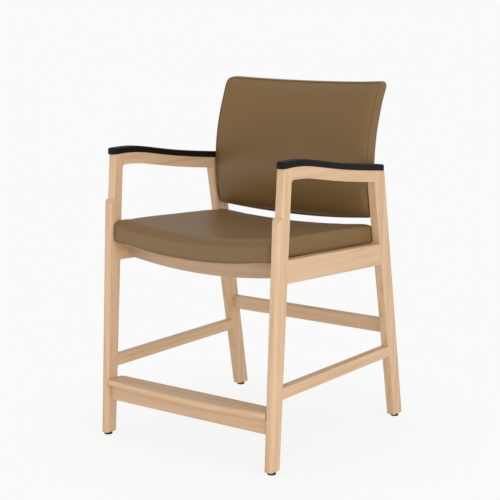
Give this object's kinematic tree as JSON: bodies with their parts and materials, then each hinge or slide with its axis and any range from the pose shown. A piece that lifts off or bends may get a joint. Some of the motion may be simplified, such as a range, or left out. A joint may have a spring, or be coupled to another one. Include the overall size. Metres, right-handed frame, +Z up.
{
  "type": "patient chair",
  "caption": "Hip-height patient armchair: hardwood frame with raked legs, footrest bar, dished upholstered seat and curved back, black arm caps and screw glides.",
  "frame": {"origin": "on the floor, below the middle of the chair's overall width and depth", "axes": "+Z up, the chair faces -Y, +X is the sitter's left"},
  "size_m": [0.575, 0.66, 0.9494],
  "materials": {
    "hardwood": "clear lacquered light maple or beech, satin",
    "dowel_wood": "plain beech dowel",
    "plywood": "raw bent plywood and softwood blocks",
    "arm_cap": "satin black moulded polyurethane",
    "upholstery": "smooth olive-brown coated upholstery fabric, soft sheen",
    "dust_cover": "black non-woven cloth",
    "glide": "dark brown hard plastic foot on a plated stem",
    "zinc_steel": "zinc plated steel"
  },
  "bodies": {
    "frame": {"left_front_leg": "hardwood", "right_front_leg": "hardwood", "left_rear_leg": "hardwood", "right_rear_leg": "hardwood", "left_arm_rail": "hardwood", "right_arm_rail": "hardwood", "left_seat_rail": "hardwood", "right_seat_rail": "hardwood", "left_side_stretcher": "hardwood", "right_side_stretcher": "hardwood", "front_seat_rail": "hardwood", "rear_seat_rail": "hardwood", "rear_stretcher": "hardwood", "footrest_rail": "hardwood", "footrest_tread": "hardwood", "left_front_corner_block": "plywood", "right_front_corner_block": "plywood", "left_rear_corner_block": "plywood", "right_rear_corner_block": "plywood", "left_arm_cap": "arm_cap", "right_arm_cap": "arm_cap", "seat_pan": "plywood", "seat_cushion": "upholstery", "seat_dust_cover": "dust_cover", "back_panel": "plywood", "back_cushion": "upholstery", "back_outer_cover": "upholstery", "left_back_bracket": "zinc_steel", "right_back_bracket": "zinc_steel", "left_front_insert": "zinc_steel", "right_front_insert": "zinc_steel", "left_rear_insert": "zinc_steel", "right_rear_insert": "zinc_steel", "arm_rail_dowels": "dowel_wood", "seat_rail_dowels": "dowel_wood", "side_stretcher_dowels": "dowel_wood", "cross_rail_dowels": "dowel_wood", "rear_stretcher_dowels": "dowel_wood", "footrest_dowels": "dowel_wood", "arm_cap_screws": "zinc_steel", "tread_screws": "zinc_steel", "corner_block_screws": "zinc_steel", "seat_bolts": "zinc_steel", "seat_tee_nuts": "zinc_steel", "back_bolts": "zinc_steel", "back_tee_nuts": "zinc_steel", "bracket_screws": "zinc_steel"},
    "left_front_glide_body": {"left_front_glide": "glide"},
    "right_front_glide_body": {"right_front_glide": "glide"},
    "left_rear_glide_body": {"left_rear_glide": "glide"},
    "right_rear_glide_body": {"right_rear_glide": "glide"}
  },
  "joints": [
    {"name": "left_front_glide_slide", "type": "slide", "parent": "frame", "child": "left_front_glide_body", "axis": [0, 0, -1], "range_m": [0, 0.008]},
    {"name": "right_front_glide_slide", "type": "slide", "parent": "frame", "child": "right_front_glide_body", "axis": [0, 0, -1], "range_m": [0, 0.008]},
    {"name": "left_rear_glide_slide", "type": "slide", "parent": "frame", "child": "left_rear_glide_body", "axis": [0, 0, -1], "range_m": [0, 0.008]},
    {"name": "right_rear_glide_slide", "type": "slide", "parent": "frame", "child": "right_rear_glide_body", "axis": [0, 0, -1], "range_m": [0, 0.008]}
  ]
}
